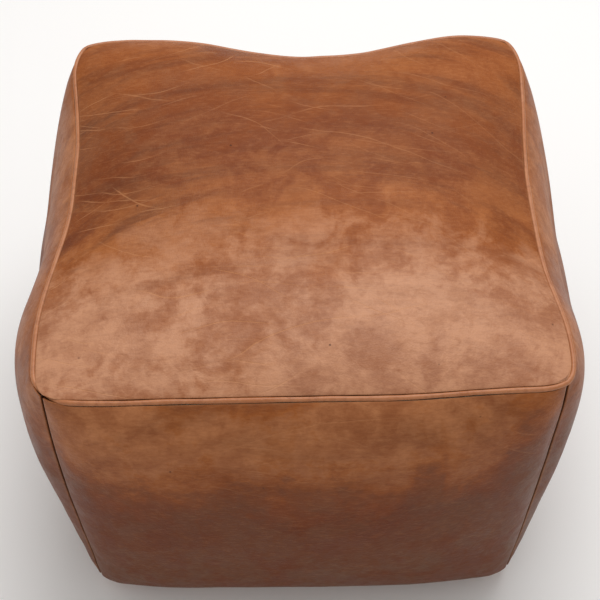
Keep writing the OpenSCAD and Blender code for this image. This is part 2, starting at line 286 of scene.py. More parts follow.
def corner_round(u, v, cut, half):
    """A corner that is rounded evenly: cut at its middle, and level with its sides further on."""
    reach = 4 * cut / half
    share = np.maximum(0, 1 - (1 - np.abs(u)) / reach) * np.maximum(0, 1 - (1 - np.abs(v)) / reach)
    return cut * share * share


def side_seam(v, w, right):
    """How far a side's top seam wanders out of its even curve: full in front, slack behind."""
    if right:
        path = 5 + 7 * hump(v, -0.66, 0.40) + 9 * smooth_step((v - 0.1) / 0.6)
    else:
        path = 1 + 17 * hump(v, -0.56, 0.62) + 10 * smooth_step((v - 0.3) / 0.6)
    return path * MM * smooth_step(w * 0.5 + 0.5)


def front_seam(u, w):
    ends = 8 * smooth_step((u - 0.3) / 0.6) + 3 * smooth_step((-u - 0.7) / 0.3)
    return (7 * (1 - u * u) * w * w - ends * smooth_step(w * 0.5 + 0.5)) * MM


def back_seam(u, w):
    """The back's corners stand further out than its middle."""
    return 12 * smooth_step((np.abs(u - 0.1) - 0.05) / 0.6) * MM * smooth_step(w * 0.5 + 0.5)


def swollen_form(spot):
    """Where a stuffed cover's skin lies, for points on a cube that runs from -1 to 1."""
    size = cover_sizes()
    u, v, w = spot.T
    inset = size.base_inset * (1 - w) / 2
    corner = np.where(v < 0, corner_round(u, v, size.front_cut, size.half_width),
                      corner_round(u, v, size.back_cut, size.half_width))
    slack = np.where(u < 0, FULLER_LEFT, 1.0) * (1 - SLACK_LOW * smooth_step(0.3 - w))
    pull_x = size.seam_bow * (1 - v * v) * w * w - size.upright_bow * v * v * (1 - w * w)
    pull_y = size.seam_bow * (1 - u * u) * w * w - size.upright_bow * u * u * (1 - w * w)
    wide = size.half_width - inset + size.side_crown * slack * dome(v, w) - pull_x - corner
    deep = size.half_depth - inset + size.side_crown * dome(u, w) - pull_y - corner
    wide = wide + np.where(u > 0, side_seam(v, w, True), side_seam(v, w, False)) * np.abs(u) ** 3
    deep = deep + np.where(v < 0, front_seam(u, w), back_seam(u, w)) * np.abs(v) ** 3
    rise = size.base_roll * turned_up(np.maximum(np.abs(u), np.abs(v)), ROLL_START)
    rise = rise + size.corner_roll * turned_up(np.abs(u * v), CORNER_ROLL_START)
    high = size.seam_height + size.top_crown * dome(u, v)
    back = smooth_step((v - 0.55) / 0.4)
    high = high + (12 * smooth_step((np.abs(u - 0.1) - 0.05) / 0.6) - 2) * back * MM
    up = (w + 1) / 2
    return np.stack([u * wide, v * deep, rise + (high - rise) * up], 1)


def settled(piece, spot):
    """Stuffs the cloth: blows it up with its base on the floor, and holds back how far it moves."""
    size = cover_sizes()
    held = piece.vertex_groups.new(name="held")
    on_floor = (spot[:, 2] < -0.99) & (np.abs(spot[:, :2]).max(1) < FLOOR_SHARE)
    held.add([int(i) for i in np.flatnonzero(on_floor)], 1.0, "REPLACE")
    cloth = piece.modifiers.new("Stuffing", "CLOTH").settings
    cloth.quality = 6
    cloth.mass = 0.3
    cloth.tension_stiffness = cloth.compression_stiffness = 60
    cloth.shear_stiffness = 20
    cloth.bending_stiffness = 30
    cloth.use_pressure = True
    cloth.uniform_pressure_force = 4
    cloth.vertex_group_mass = "held"
    cloth.effector_weights.gravity = 0
    for step in range(1, STUFFING_STEPS + 1):
        bpy.context.scene.frame_set(step)
    start = coordinates(piece.data)
    moved = coordinates(baked(piece)) - start
    piece.modifiers.clear()
    bpy.context.scene.frame_set(1)
    reach = np.linalg.norm(moved, axis=1, keepdims=True)
    return start + moved / np.maximum(reach, 1e-9) * size.settle * np.tanh(reach / size.settle)


def uneven(points, normals, spot):
    """The small dents and swells of packed stuffing, with puckers beside the seams."""
    near = np.sort(1 - np.abs(spot), axis=1)[:, 1]
    beside = np.exp(-((near - 0.10) / 0.07) ** 2)
    still = smooth_step((spot[:, 2] + 0.98) / 0.15)
    push = 2.2 * lumps(points, 0.16, 2) + 0.9 * lumps(points, 0.060, 5)
    push = push + 1.0 * beside * lumps(points, 0.028, 7)
    return points + normals * (push * still * MM)[:, None]


def normals_of(mesh):
    return np.array([v.normal for v in mesh.vertices])


def make_form():
    """The swollen cover as one closed mesh, which every layer is then cut from."""
    size = cover_sizes()
    mesh = cube_cloth(size.cuts)
    spot = vectors(mesh, "spot")
    mesh.vertices.foreach_set("co", swollen_form(spot).ravel())
    mesh.update()
    piece = add_object("pouf_cloth", mesh)
    mesh.vertices.foreach_set("co", settled(piece, spot).ravel())
    mesh.update()
    place = uneven(coordinates(mesh), normals_of(mesh), spot)
    place[:, 2] = np.maximum(place[:, 2], 0)
    mesh.vertices.foreach_set("co", place.ravel())
    soft = piece.modifiers.new("Softness", "SUBSURF")
    soft.levels = soft.render_levels = 1
    form = baked(piece)
    form.name = FORM
    form.use_fake_user = True
    bpy.data.objects.remove(piece)
    outward = form.attributes.new("outward", "FLOAT_VECTOR", "POINT")
    outward.data.foreach_set("vector", normals_of(form).ravel())


# ---- Layers cut from the form ------------------------------------------------------------


# From a panel's edge inwards: where the rings are first cut, where they end up beside the piping
# or in a plain seam, how deep they sink there (as shares of the groove), and their seam value,
# which sets how much painted shade darkens each ring in the groove and how far the rim is rubbed lighter.
RINGS = (0.0, 0.9 * MM, 1.9 * MM, 3.2 * MM)
PIPED_STEPS = (0.0, 0.0, 0.6 * MM, 1.3 * MM)
PIPED_SINK = (1.25, 0.52, 0.15, 0.02)
PLAIN_PLACE = (0.7 * MM, 1.7 * MM, 2.8 * MM, 4.0 * MM)
PLAIN_SINK = (1.15, 0.50, 0.16, 0.02)
RING_SHADE_AND_WEAR = (0.0, 0.3, 0.7, 0.93)
PIPED_LIP = 0.2
PLAIN_SHARE = 0.9
PINCH = Vector((-0.244, -0.238, 0.392))
PINCH_REACH = 30 * MM
PIPING_DIVE = 4.5 * MM
DIVE_REACH = 28 * MM
NEAR_CORNER = 0.9
CORNER_ROUNDS = 12
STUFFING_ROUNDS = 6
LINING_GAP = 0.05 * MM
BAG_GAP = 0.3 * MM
STUFFING_GAP = 3 * MM
ZIP_ROOM = 6 * MM


def pinched(place, reach):
    """0 at the front left corner, where the piping dives under, and 1 away from it."""
    return float(smooth_step((place - PINCH).length / reach))


def fold_edge(chain, outward):
    """Folds one line of points across a panel's edge down into the seam, beside the piping or not."""
    size = cover_sizes()
    start = chain[0]["vert"].co.copy()
    inward = (chain[-1]["vert"].co - start).normalized()
    room = size.piping_room * pinched(start, PINCH_REACH)
    for step, link in enumerate(chain):
        place, sink = PLAIN_PLACE[step], PLAIN_SINK[step]
        if chain[0]["top"]:
            piped = room + PIPED_STEPS[step] if step else PIPED_LIP * room
            place, sink = max(piped, place * PLAIN_SHARE), PIPED_SINK[step]
        link["vert"].co += inward * (place - RINGS[step]) - outward * size.groove * sink


def cut_side(side):
    """One side of the form, with its edges folded down into the seams."""
    bm = bmesh.new()
    bm.from_mesh(bpy.data.meshes[FORM])
    layer = bm.faces.layers.int["side"]
    others = [f for f in bm.faces if f[layer] != SIDES.index(side)]
    bmesh.ops.delete(bm, geom=others, context="FACES")
    spot = bm.verts.layers.float_vector["spot"]
    out = bm.verts.layers.float_vector["outward"]
    seam = bm.verts.layers.float.new("seam")
    for wide, narrow in zip(reversed(RINGS[1:]), reversed(RINGS[:-1])):
        bmesh.ops.inset_region(bm, faces=bm.faces[:], thickness=wide - narrow,
                               use_boundary=True, use_even_offset=True, use_interpolate=True)
    for vert in bm.verts:
        vert[seam] = 1.0
    rim = [v for v in bm.verts if v.is_boundary]
    taken = set(rim)
    folds = []
    for vert in rim:
        chain = [vert]
        for _ in RINGS[1:]:
            here = chain[-1]
            onward = [e.other_vert(here) for e in here.link_edges]
            onward = [v for v in onward if v not in taken and v not in chain]
            ahead = (here.co - vert.co) if here is not vert else Vector((0, 0, 0))
            chain.append(max(onward, key=lambda v: (v.co - here.co).normalized().dot(ahead)))
        folds.append(([{"vert": v, "top": vert[spot].z > 0.995} for v in chain], vert[out].normalized()))
        for level, link in zip(RING_SHADE_AND_WEAR, chain):
            link[seam] = min(link[seam], level)
    for chain, outward in folds:
        fold_edge(chain, outward)
    edge = {link["vert"] for chain, _ in folds for link in chain}
    corners = [v for v in bm.verts if v not in edge and min(map(abs, v[spot])) > NEAR_CORNER]
    smooth(bm, corners, CORNER_ROUNDS)
    return bm


def split_base(bm, sign):
    """Half of the base, with the zip's channel pressed into it."""
    size = cover_sizes()
    zip_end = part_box("zip_tape_back")[1].x
    cuts = (0, size.zip_half_gap, size.zip_half_gap + 2 * MM, size.channel_flat,
            size.channel_flat + size.channel_slope)
    for offset in cuts[1:]:
        bmesh.ops.bisect_plane(bm, geom=bm.verts[:] + bm.edges[:] + bm.faces[:], dist=1e-6,
                               plane_co=(0, sign * offset, 0), plane_no=(0, sign, 0),
                               clear_inner=offset == size.zip_half_gap)
    for vert in bm.verts:
        across = (abs(vert.co.y) - size.channel_flat) / size.channel_slope
        rise = size.channel_height * float(smooth_step(1 - across))
        vert.co.z = max(vert.co.z, rise)
        past = float(smooth_step((abs(vert.co.x) - zip_end - 2 * MM) / (10 * MM)))
        near = float(smooth_step(1 - (abs(vert.co.y) - size.zip_half_gap) / (12 * MM)))
        vert.co.y -= sign * (size.zip_half_gap - 0.3 * MM) * past * near
    return bm


def lift_over_channel(bm):
    """Keeps a layer's base clear above the zip's channel."""
    size = cover_sizes()
    for vert in bm.verts:
        across = (abs(vert.co.y) - size.channel_flat) / size.channel_slope
        lift = (size.channel_height + ZIP_ROOM) * float(smooth_step(1 - across))
        vert.co.z = max(vert.co.z, lift)


def sink_to(bm, depth):
    """Draws a layer in from all sides at once, so that the layers lie in each other."""
    size = cover_sizes()
    middle = size.seam_height / 2
    scale = Vector((1 - depth / size.half_width, 1 - depth / size.half_depth, 1 - depth / middle))
    centre = Vector((0, 0, middle))
    bmesh.ops.transform(bm, verts=bm.verts[:],
                        matrix=Matrix.Translation(centre) @ Matrix.Diagonal(scale).to_4x4()
                        @ Matrix.Translation(-centre))
    return bm


def cut_layer(name, side, depth, thickness, rounds=0):
    """One panel of one layer. The side is a name, or base_front or base_back."""
    bm = cut_side(side.split("_")[0])
    if "_" in side:
        split_base(bm, -1 if side.endswith("front") else 1)
    sink_to(bm, depth)
    piece = piece_from(bm, name)
    thicken(piece, thickness, rounds)
    return piece


# ---- Materials ---------------------------------------------------------------------------


class Nodes:
    """Short hands for building a node tree."""

    def __init__(self, tree):
        self.tree = tree

    def add(self, kind, **settings):
        node = self.tree.nodes.new(kind)
        for name, value in settings.items():
            setattr(node, name, value)
        return node

    def link(self, source, target):
        self.tree.links.new(source, target)

    def fill(self, socket, value):
        if isinstance(value, bpy.types.NodeSocket):
            self.link(value, socket)
        elif hasattr(value, "__len__") and len(value) == 3 and socket.type == "RGBA":
            socket.default_value = (*value, 1.0)
        else:
            socket.default_value = value

    def maths(self, operation, a, b=0.0):
        node = self.add("ShaderNodeMath", operation=operation)
        self.fill(node.inputs[0], a)
        self.fill(node.inputs[1], b)
        return node.outputs[0]

    def plus(self, a, b):
        return self.maths("ADD", a, b)

    def minus(self, a, b):
        return self.maths("SUBTRACT", a, b)

    def times(self, a, b):
        return self.maths("MULTIPLY", a, b)

    def mix(self, factor, a, b, blend="MIX"):
        node = self.add("ShaderNodeMix", data_type="RGBA", blend_type=blend)
        self.fill(node.inputs["Factor"], factor)
        self.fill(node.inputs[6], a)
        self.fill(node.inputs[7], b)
        return node.outputs[2]

    def ramp(self, value, low, high, to_low=0.0, to_high=1.0):
        node = self.add("ShaderNodeMapRange", interpolation_type="SMOOTHSTEP")
        for name, given in zip(("Value", "From Min", "From Max", "To Min", "To Max"),
                               (value, low, high, to_low, to_high)):
            self.fill(node.inputs[name], given)
        return node.outputs[0]

    def noise(self, vector, scale, detail=3.0, rough=0.5, distortion=0.0):
        node = self.add("ShaderNodeTexNoise")
        for name, given in (("Vector", vector), ("Scale", scale), ("Detail", detail),
                            ("Roughness", rough), ("Distortion", distortion)):
            self.fill(node.inputs[name], given)
        return node.outputs["Fac"]

    def place(self, vector, location=(0, 0, 0), turn=(0, 0, 0), scale=(1, 1, 1)):
        node = self.add("ShaderNodeMapping")
        self.fill(node.inputs["Vector"], vector)
        node.inputs["Location"].default_value = location
        node.inputs["Rotation"].default_value = turn
        node.inputs["Scale"].default_value = scale
        return node.outputs[0]


def group(name, inputs, outputs, build):
    """A shared effect: made once, and placed in each material with its own values."""
    if name in bpy.data.node_groups:
        return bpy.data.node_groups[name]
    tree = bpy.data.node_groups.new(name, "ShaderNodeTree")
    for socket, (kind, default) in inputs.items():
        made = tree.interface.new_socket(socket, in_out="INPUT", socket_type=kind)
        if default is not None:
            made.default_value = default
    for socket in outputs:
        tree.interface.new_socket(socket, in_out="OUTPUT", socket_type="NodeSocketFloat")
    nodes = Nodes(tree)
    source = nodes.add("NodeGroupInput")
    target = nodes.add("NodeGroupOutput")
    for socket, value in zip(outputs, build(nodes, source.outputs)):
        nodes.link(value, target.inputs[socket])
    return tree


PLACE = ("NodeSocketVector", None)


def mottle_group():
    """Blotches of dye: wide clouds with smaller ones inside."""
    def build(n, given):
        bent = n.noise(given["Place"], n.times(given["Scale"], 0.6), 2.0)
        clouds = n.noise(given["Place"], given["Scale"], 4.0, 0.55, 1.2)
        small = n.noise(given["Place"], n.times(given["Scale"], 5.5), 5.0, 0.65, 0.6)
        both = n.plus(n.times(clouds, 0.68), n.times(small, 0.32))
        both = n.plus(both, n.times(n.minus(bent, 0.5), 0.5))
        return [n.ramp(both, given["Low"], given["High"])]
    return group("Dye mottle", {"Place": PLACE, "Scale": ("NodeSocketFloat", 6.0),
                                "Low": ("NodeSocketFloat", 0.4), "High": ("NodeSocketFloat", 0.6)},
                 ["Mask"], build)


def streak_group():
    """Rubbed streaks of dye, long one way and thin the other, that bend over the hide."""
    def build(n, given):
        wide = n.noise(n.place(given["Place"], scale=(1.6, 15, 15)), 1.0, 4.0, 0.6, 1.4)
        fine = n.noise(n.place(given["Place"], (3, 1, 0), (0, 0, 0.12), (5, 70, 70)), 1.0, 4.0, 0.7, 0.8)
        both = n.plus(n.times(wide, 0.72), n.times(fine, 0.28))
        return [n.ramp(both, given["Low"], given["High"])]
    return group("Dye streaks", {"Place": PLACE, "Low": ("NodeSocketFloat", 0.45),
                                 "High": ("NodeSocketFloat", 0.7)}, ["Mask"], build)


def crease_group():
    """Long thin pale creases and scratches that bend a little, here and there."""
    def build(n, given):
        total = None
        for turn, spacing, seed in ((0.10, 0.024, 1), (0.32, 0.033, 5), (-0.25, 0.040, 9), (0.62, 0.058, 14)):
            laid = n.place(given["Place"], (seed * 0.7, seed * 0.3, 0), (0, 0, turn))
            split = n.add("ShaderNodeSeparateXYZ")
            n.fill(split.inputs[0], laid)
            bend = n.times(n.noise(laid, 5.0, 2.0, 0.45), 0.10)
            shiver = n.times(n.noise(laid, 60.0, 2.0, 0.5), 0.002)
            across = n.plus(n.plus(split.outputs[1], split.outputs[2]), n.plus(bend, shiver))
            phase = n.maths("FRACT", n.maths("DIVIDE", across, spacing))
            gap = n.times(n.maths("ABSOLUTE", n.minus(phase, 0.5)), spacing)
            line = n.ramp(gap, 0.0, given["Width"], 1.0, 0.0)
            patch = n.ramp(n.noise(n.place(laid, (seed, 0, 0), scale=(1, 2.2, 1)), 9.0, 2.0), 0.52, 0.68)
            line = n.times(line, patch)
            total = line if total is None else n.maths("MAXIMUM", total, line)
        return [total]
    return group("Creases", {"Place": PLACE, "Width": ("NodeSocketFloat", 0.0008)}, ["Mask"], build)


def grain_group():
    """The pores and fine wrinkles of the hide, as a height."""
    def build(n, given):
        pores = n.add("ShaderNodeTexVoronoi", feature="SMOOTH_F1")
        n.fill(pores.inputs["Vector"], given["Place"])
        n.fill(pores.inputs["Scale"], given["Scale"])
        pores.inputs["Smoothness"].default_value = 0.6
        wrinkles = n.noise(n.place(given["Place"], scale=(1.0, 0.35, 1.0)),
                           n.times(given["Scale"], 0.45), 5.0, 0.65, 0.8)
        soft = n.noise(given["Place"], n.times(given["Scale"], 0.12), 3.0)
        height = n.plus(n.times(pores.outputs["Distance"], 0.5), n.times(wrinkles, 0.6))
        return [n.plus(height, n.times(soft, 0.9))]
    return group("Hide grain", {"Place": PLACE, "Scale": ("NodeSocketFloat", 900.0)},
                 ["Height"], build)


def speck_group():
    """Small dark specks, far apart."""
    def build(n, given):
        dots = n.add("ShaderNodeTexVoronoi", feature="F1")
        n.fill(dots.inputs["Vector"], given["Place"])
        n.fill(dots.inputs["Scale"], given["Scale"])
        dot = n.ramp(dots.outputs["Distance"], 0.03, 0.07, 1.0, 0.0)
        some = n.ramp(n.noise(given["Place"], 31.0, 1.0), 0.56, 0.6)
        return [n.times(dot, some)]
    return group("Specks", {"Place": PLACE, "Scale": ("NodeSocketFloat", 60.0)}, ["Mask"], build)


def weave_group():
    """Plain woven threads, over one and under one."""
    def build(n, given):
        split = n.add("ShaderNodeSeparateXYZ")
        n.fill(split.inputs[0], given["Place"])
        turn = n.times(given["Threads"], math.tau / 2)
        waves = [n.maths("SINE", n.times(split.outputs[i], turn)) for i in range(3)]
        level = n.times(n.times(n.plus(waves[0], waves[2]), waves[1]), 0.5)
        return [n.ramp(level, -1.0, 1.0)]
    return group("Plain weave", {"Place": PLACE, "Threads": ("NodeSocketFloat", 900.0)},
                 ["Height"], build)


def start_material(name, roughness, metallic=0.0):
    """A new material, its node helper, its shader and the piece's own coordinates."""
    material = bpy.data.materials.new("pouf_" + name)
    material.use_nodes = True
    nodes = Nodes(material.node_tree)
    shader = material.node_tree.nodes["Principled BSDF"]
    shader.inputs["Roughness"].default_value = roughness
    shader.inputs["Metallic"].default_value = metallic
    place = nodes.add("ShaderNodeTexCoord").outputs["Object"]
    return material, nodes, shader, place


def effect(nodes, tree, **values):
    node = nodes.add("ShaderNodeGroup", node_tree=tree)
    for name, value in values.items():
        nodes.fill(node.inputs[name], value)
    return node.outputs[0]


def bump(nodes, shader, height, distance, strength=1.0):
    node = nodes.add("ShaderNodeBump")
    nodes.fill(node.inputs["Height"], height)
    node.inputs["Distance"].default_value = distance
    node.inputs["Strength"].default_value = strength
    nodes.link(node.outputs[0], shader.inputs["Normal"])


def seam_value(nodes):
    """0 in a seam's groove and 1 on the open leather."""
    return nodes.add("ShaderNodeAttribute", attribute_name="seam").outputs["Fac"]


def arched(nodes, place):
    """Coordinates in which a line across the top bends back at its ends."""
    split = nodes.add("ShaderNodeSeparateXYZ")
    nodes.fill(split.inputs[0], place)
    bend = nodes.times(nodes.times(split.outputs[0], split.outputs[0]), 0.9)
    join = nodes.add("ShaderNodeCombineXYZ")
    nodes.fill(join.inputs[0], split.outputs[0])
    nodes.fill(join.inputs[1], nodes.plus(split.outputs[1], bend))
    nodes.fill(join.inputs[2], split.outputs[2])
    return join.outputs[0], split.outputs


def colour_bands(nodes, value, bands):
    """Colours along a value: each band is where it stands and its colour."""
    ramp = nodes.add("ShaderNodeValToRGB")
    nodes.fill(ramp.inputs[0], value)
    points = ramp.color_ramp.elements
    while len(points) < len(bands):
        points.new(0.5)
    for point, (stand, tint) in zip(points, bands):
        point.position = stand
        point.color = (*tint, 1.0)
    return ramp.outputs[0]


def leather_material(name, bands, low, high, axis, seed, worked, hairy):
    """Hand-dyed hide: its colour changes along one axis, and it is mottled, streaked and creased."""
    shade = colours()
    material, n, shader, whole = start_material(name, 0.42)
    place = n.place(whole, (seed * 0.37, seed * 0.71, seed * 0.13))
    arc, axes = arched(n, whole)
    arc = n.place(arc, (seed * 0.19, seed * 0.53, 0))
    clouds = effect(n, mottle_group(), Place=place, Scale=5.5, Low=0.34, High=0.68)
    spots = effect(n, mottle_group(), Place=place, Scale=19.0, Low=0.40, High=0.64)
    flecks = effect(n, mottle_group(), Place=place, Scale=75.0, Low=0.40, High=0.66)
    streaks = effect(n, streak_group(), Place=arc, Low=0.44, High=0.66)
    drift = n.ramp(axes[axis], low, high)
    drift = n.plus(drift, n.times(n.minus(clouds, 0.5), 0.22))
    drift = n.plus(drift, n.times(n.minus(spots, 0.5), 0.12))
    base = colour_bands(n, drift, bands)
    streaky, stained, creased = worked(n, axes)
    stain = n.times(n.plus(n.times(streaks, 0.6), 0.4), stained)
    base = n.mix(stain, base, shade.umber)
    base = n.mix(n.times(streaks, streaky), base, shade.chestnut)
    base = n.mix(n.times(spots, 0.38), base, shade.russet)
    base = n.mix(n.times(n.minus(1.0, spots), 0.10), base, shade.wear)
    base = n.mix(n.times(flecks, 0.22), base, shade.russet)
    hairs = n.noise(n.place(whole, (seed, 0, 0), (0, 0, 0.06), (110, 420, 420)), 1.0, 4.0, 0.62, 0.5)
    base = n.mix(n.ramp(hairs, 0.46, 0.66, 0.0, hairy), base, shade.chestnut)
    base = n.mix(n.ramp(hairs, 0.50, 0.34, 0.0, hairy * 0.7), base, shade.wear)
    creases = n.times(effect(n, crease_group(), Place=arc, Width=0.0011), creased)
    base = n.mix(creases, base, shade.wear)
    base = n.mix(n.times(effect(n, speck_group(), Place=place, Scale=42.0), 0.75),
                 base, shade.umber)
    seam = seam_value(n)
    base = n.mix(n.times(n.ramp(seam, 0.90, 1.0, 0.24, 0.0), n.ramp(spots, 0, 1, 1, 0.4)),
                 base, shade.wear)
    # Painted shade: the leather darkens towards the seam line, as if the groove lay in shade.
    base = n.mix(n.ramp(seam, 0.30, 0.88, 0.97, 0.0), base, shade.groove_shade)
    n.link(base, shader.inputs["Base Color"])
    rough = n.plus(n.times(clouds, 0.10), n.times(flecks, 0.10))
    rough = n.plus(rough, n.times(creases, 0.2))
    n.link(n.plus(rough, 0.38), shader.inputs["Roughness"])
    grain = effect(n, grain_group(), Place=place, Scale=620.0)
    height = n.minus(grain, n.times(creases, 1.6))
    bump(n, shader, height, 0.0006, 0.7)
    shader.inputs["Specular IOR Level"].default_value = 0.14
    return material


def top_work(n, axes):
    """Shares of streaks, stain and creases: the top is darkest at its back and middle left."""
    across, along = axes[0], axes[1]
    back = n.ramp(along, -0.16, 0.05, 0.15, 0.60)
    left = n.times(n.ramp(across, -0.20, -0.02, 1.0, 0.0),
                   n.times(n.ramp(along, -0.16, -0.02), n.ramp(along, 0.08, 0.20, 1.0, 0.0)))
    streaky = n.maths("MINIMUM", n.plus(back, n.times(left, 0.6)), 0.9)
    stained = n.plus(n.times(left, 0.42), n.ramp(along, -0.12, 0.0, 0.0, 0.15))
    return streaky, stained, n.ramp(across, -0.06, 0.22, 0.34, 0.12)


def side_work(n, axes):
    """Shares of streaks, stain and creases: the sides are darkest low down on their right."""
    streaky = n.ramp(axes[2], 0.24, 0.36, 0.55, 0.40)
    stained = n.times(n.ramp(axes[0], 0.05, 0.22, 0.24, 0.62), n.ramp(axes[2], 0.37, 0.27))
    return streaky, stained, n.ramp(axes[2], 0.20, 0.36, 0.05, 0.14)


def cloth_material(name, tint, threads, depth, shaded_at_seams=False):
    material, n, shader, place = start_material(name, 0.85)
    weave = effect(n, weave_group(), Place=place, Threads=threads)
    clouds = effect(n, mottle_group(), Place=place, Scale=9.0, Low=0.3, High=0.7)
    dark = [c * 0.72 for c in tint]
    base = n.mix(n.times(weave, 0.6), dark, tint)
    base = n.mix(n.times(clouds, 0.25), base, dark)
    if shaded_at_seams:
        # Painted shade: the cotton is darkened near the seams, where the gaps beside the piping lie in shade.
        base = n.mix(n.ramp(seam_value(n), 0.6, 0.99, 1.0, 0.0), base, colours().groove_shade)
    n.link(base, shader.inputs["Base Color"])
    bump(n, shader, weave, depth, 0.8)
    shader.inputs["Sheen Weight"].default_value = 0.0 if shaded_at_seams else 0.3
    return material


def piping_material():
    shade = colours()
    material, n, shader, place = start_material("piping_leather", 0.45)
    spots = effect(n, mottle_group(), Place=place, Scale=30.0, Low=0.40, High=0.64)
    fine = effect(n, mottle_group(), Place=place, Scale=110.0, Low=0.45, High=0.7)
    base = n.mix(n.times(spots, 0.55), shade.piping, shade.golden)
    base = n.mix(n.times(fine, 0.35), base, shade.russet)
    n.link(base, shader.inputs["Base Color"])
    bump(n, shader, effect(n, grain_group(), Place=place, Scale=900.0), 0.0004, 0.6)
    return material


def stuffing_material():
    shade = colours()
    material, n, shader, place = start_material("loose_stuffing", 0.95)
    tufts = n.noise(place, 60.0, 6.0, 0.7, 1.5)
    n.link(n.mix(n.ramp(tufts, 0.35, 0.65), [c * 0.8 for c in shade.stuffing], shade.stuffing),
           shader.inputs["Base Color"])
    bump(n, shader, tufts, 0.004, 0.9)
    return material


def brass_material():
    shade = colours()
    material, n, shader, place = start_material("zip_brass", 0.3, 1.0)
    worn = n.noise(place, 260.0, 4.0, 0.6)
    n.link(n.mix(n.ramp(worn, 0.4, 0.7), shade.brass, [c * 0.55 for c in shade.brass]),
           shader.inputs["Base Color"])
    n.link(n.ramp(worn, 0.3, 0.7, 0.22, 0.42), shader.inputs["Roughness"])
    bump(n, shader, n.noise(place, 1400.0, 2.0), 0.0001, 0.5)
    return material


def floor_material():
    material, _, shader, _ = start_material("plain_floor", 0.9)
    shader.inputs["Base Color"].default_value = (*colours().floor, 1)
    return material


def finish(name):
    """A material by name, made the first time it is asked for."""
    if "pouf_" + name not in bpy.data.materials:
        shade = colours()
        makers = {
            # Painted sheen: the top starts at tan at its front, where the light glances off it, then runs
            # golden, russet and golden to the back.
            "top_leather": lambda: leather_material("top_leather", (
                (0.0, shade.tan), (0.30, shade.golden), (0.72, shade.russet), (1.0, shade.golden)),
                -0.26, 0.26, 1, 1, top_work, 0.11),
            # The sides run darker towards the bottom, and their dull greyish foot (dusk) is a painted
            # reflection of the floor's light.
            "side_leather": lambda: leather_material("side_leather", (
                (0.0, shade.dusk), (0.28, shade.chestnut), (0.66, shade.chestnut), (0.84, shade.russet),
                (0.93, shade.golden), (1.0, shade.piping)), 0.02, 0.39, 2, 4, side_work, 0.12),
            "base_leather": lambda: leather_material("base_leather", (
                (0.0, shade.base), (1.0, shade.russet)), 0.0, 0.1, 2, 9, side_work, 0.12),
            "piping_leather": piping_material,
            "lining_cotton": lambda: cloth_material("lining_cotton", shade.cotton, 1100.0, 0.0003, True),
            "piping_cord": lambda: cloth_material("piping_cord", shade.cotton, 700.0, 0.0004),
            "bag_cotton": lambda: cloth_material("bag_cotton", shade.bag, 800.0, 0.0003, True),
            "loose_stuffing": stuffing_material,
            "zip_tape": lambda: cloth_material("zip_tape", shade.tape, 1500.0, 0.0003),
            "thread": lambda: cloth_material("thread", shade.thread, 2600.0, 0.0002),
            "zip_brass": brass_material,
            "plain_floor": floor_material,
        }
        makers[name]()
    return bpy.data.materials["pouf_" + name]


# ---- Operators ---------------------------------------------------------------------------


class POUF_OT_form(bpy.types.Operator):
    """Blow up a sewn cube of cloth to the shape of the stuffed cover"""

    bl_idname = "pouf.form"
    bl_label = "Stuffed form"

    def execute(self, context):
        make_form()
        return {"FINISHED"}


class POUF_OT_leather(bpy.types.Operator):
    """Cut the leather panels from the form and give them their thickness"""

    bl_idname = "pouf.leather"
    bl_label = "Leather panels"

    def execute(self, context):
        size = cover_sizes()
        for side in PANELS:
            piece = cut_layer("leather_" + side, side, 0.0, size.leather, 1)
            kind = "top" if side == "top" else "base" if "base" in side else "side"
            node = side.replace("base_", "base_panel_") if kind == "base" else side + "_panel"
            finish_piece(piece, "pouf", kind + "_leather", finish(kind + "_leather"), node)
        return {"FINISHED"}


class POUF_OT_linings(bpy.types.Operator):
    """Line each leather panel with cotton"""

    bl_idname = "pouf.linings"
    bl_label = "Cotton linings"

    def execute(self, context):
        size = cover_sizes()
        for side in PANELS:
            piece = cut_layer("lining_" + side, side, size.leather + LINING_GAP, size.lining)
            node = side.replace("base_", "base_lining_") if "_" in side else side + "_lining"
            finish_piece(piece, "pouf", "lining_cotton", finish("lining_cotton"), node)
        return {"FINISHED"}


class POUF_OT_bag(bpy.types.Operator):
    """Sew the inner bag and fill it"""

    bl_idname = "pouf.bag"
    bl_label = "Inner bag and stuffing"

    def execute(self, context):
        size = cover_sizes()
        depth = size.leather + size.lining + BAG_GAP
        for side in (*PANELS[:5], "base"):
            bm = cut_side(side)
            if side == "base":
                lift_over_channel(bm)
            sink_to(bm, depth)
            piece = piece_from(bm, "cotton_bag_" + side)
            thicken(piece, size.bag)
            finish_piece(piece, "pouf", "bag_cotton", finish("bag_cotton"), "bag_" + side)
        self.fill(depth + size.bag)
        return {"FINISHED"}

    def fill(self, depth):
        """Fills the bag with stuffing that lies just inside it."""
        bm = bmesh.new()
        bm.from_mesh(bpy.data.meshes[FORM])
        smooth(bm, bm.verts[:], STUFFING_ROUNDS)
        lift_over_channel(bm)
        sink_to(bm, depth + STUFFING_GAP)
        piece = piece_from(bm, "stuffing")
        finish_piece(piece, "pouf", "stuffing", finish("loose_stuffing"), "filling")


